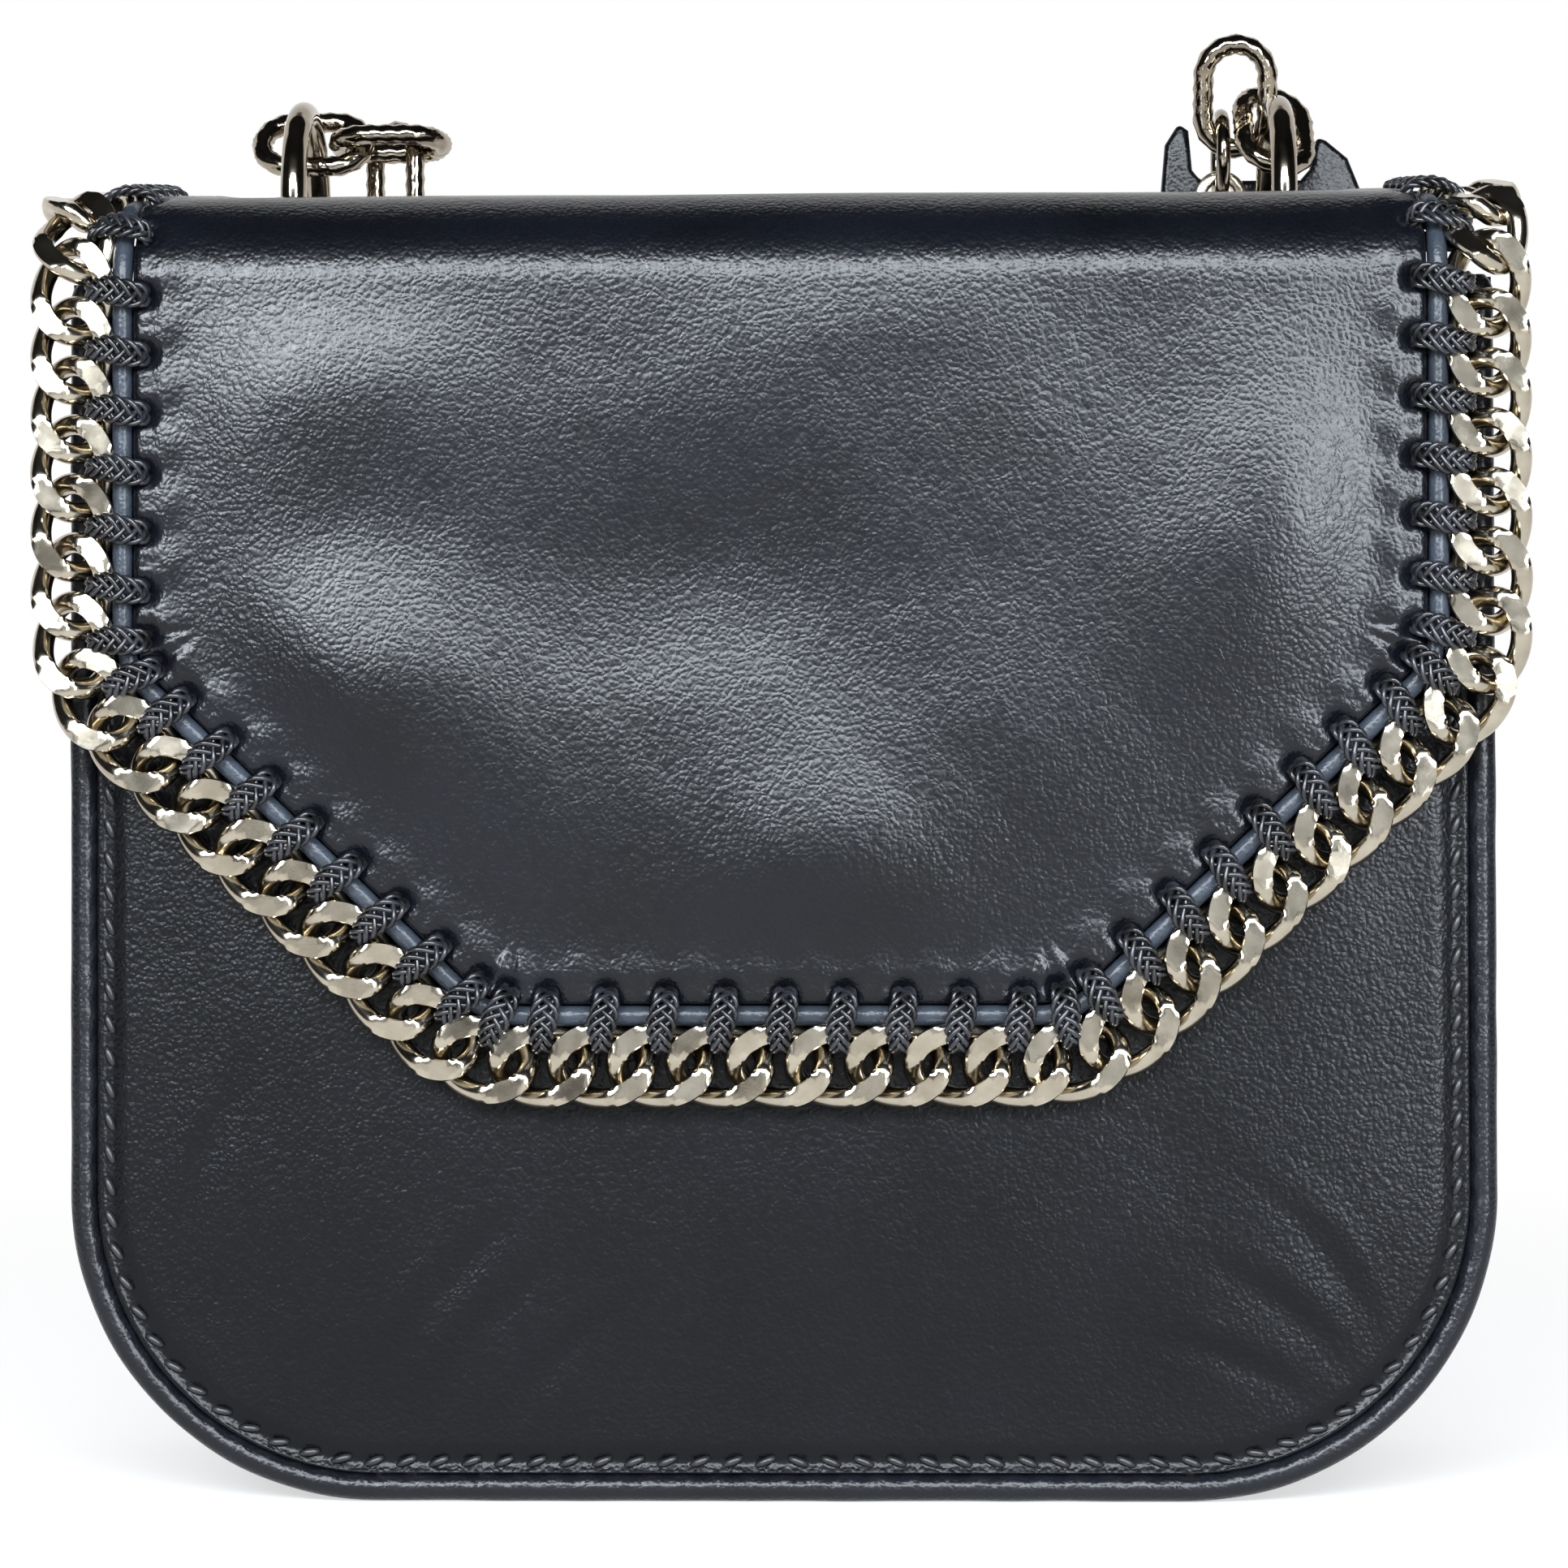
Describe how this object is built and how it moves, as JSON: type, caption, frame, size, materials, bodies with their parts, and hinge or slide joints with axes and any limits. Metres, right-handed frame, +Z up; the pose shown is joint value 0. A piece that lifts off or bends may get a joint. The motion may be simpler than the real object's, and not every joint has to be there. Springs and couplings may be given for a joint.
{
  "type": "chain shoulder bag",
  "caption": "Small black leather flap bag, its flap edged with a whip-laced curb chain, hung on a chain strap with a leather shoulder pad.",
  "frame": {"origin": "middle of the base, on the surface that the bag stands on", "axes": "+X to the right as the flap's front is seen, +Y from the front to the back, +Z up"},
  "size_m": [0.1808, 0.176, 0.1918],
  "materials": {
    "black_leather": "fine pebble grain, soft semi-gloss",
    "black_thread": "waxed thread",
    "waxed_cord": "braided waxed cord, semi-gloss",
    "stiffener_board": "raw board",
    "lining_cloth": "plain woven lining",
    "pale_gold_metal": "polished pale gold plating"
  },
  "bodies": {
    "bag_body": {"front_panel": "black_leather", "back_panel": "black_leather", "gusset": "black_leather", "front_edge_bead": "black_leather", "back_edge_bead": "black_leather", "front_stitching": "black_thread", "back_stitching": "black_thread", "front_board": "stiffener_board", "back_board": "stiffener_board", "base_board": "stiffener_board", "lining": "lining_cloth", "inner_pocket": "lining_cloth", "magnet_socket": "pale_gold_metal", "magnet_socket_backing": "pale_gold_metal", "top_eyelets": "pale_gold_metal", "back_eyelets": "pale_gold_metal"},
    "flap": {"flap_leather": "black_leather", "flap_board": "stiffener_board", "flap_lining": "black_leather", "flap_edge_cord": "black_leather", "flap_lacing": "waxed_cord", "flap_chain": "pale_gold_metal", "magnet_stud": "pale_gold_metal", "magnet_stud_backing": "pale_gold_metal"},
    "ring_left": {"strap_ring_left": "pale_gold_metal"},
    "ring_right": {"strap_ring_right": "pale_gold_metal"},
    "end_links": {"end_links_left": "pale_gold_metal", "end_links_right": "pale_gold_metal"},
    "strap_legs": {"strap_chain_left": "pale_gold_metal", "strap_chain_right": "pale_gold_metal", "shoulder_pad": "black_leather", "pad_eyelets": "pale_gold_metal", "pad_rings": "pale_gold_metal"},
    "strap_bight": {"strap_chain_bight": "pale_gold_metal"}
  },
  "joints": [
    {"name": "flap_hinge", "type": "hinge", "parent": "bag_body", "child": "flap", "pos_m": [0, 0.009, 0.1662], "axis": [-1, 0, 0], "range_deg": [0, 100]},
    {"name": "left_ring_turn", "type": "hinge", "parent": "bag_body", "child": "ring_left", "pos_m": [-0.066, 0.028, 0.1675], "axis": [1, 0, 0], "continuous": true},
    {"name": "right_ring_turn", "type": "hinge", "parent": "bag_body", "child": "ring_right", "pos_m": [0.066, 0.028, 0.1675], "axis": [1, 0, 0], "continuous": true},
    {"name": "end_link_swing", "type": "hinge", "parent": "bag_body", "child": "end_links", "pos_m": [0, 0.028, 0.1675], "axis": [1, 0, 0], "range_deg": [0, 60]},
    {"name": "strap_swing", "type": "hinge", "parent": "end_links", "child": "strap_legs", "pos_m": [0, 0.04006, 0.17674], "axis": [1, 0, 0], "range_deg": [0, 70]},
    {"name": "bight_straighten", "type": "hinge", "parent": "strap_legs", "child": "strap_bight", "pos_m": [0, 0.0695, 0.00506], "axis": [-1, 0, 0], "range_deg": [0, 60]}
  ]
}
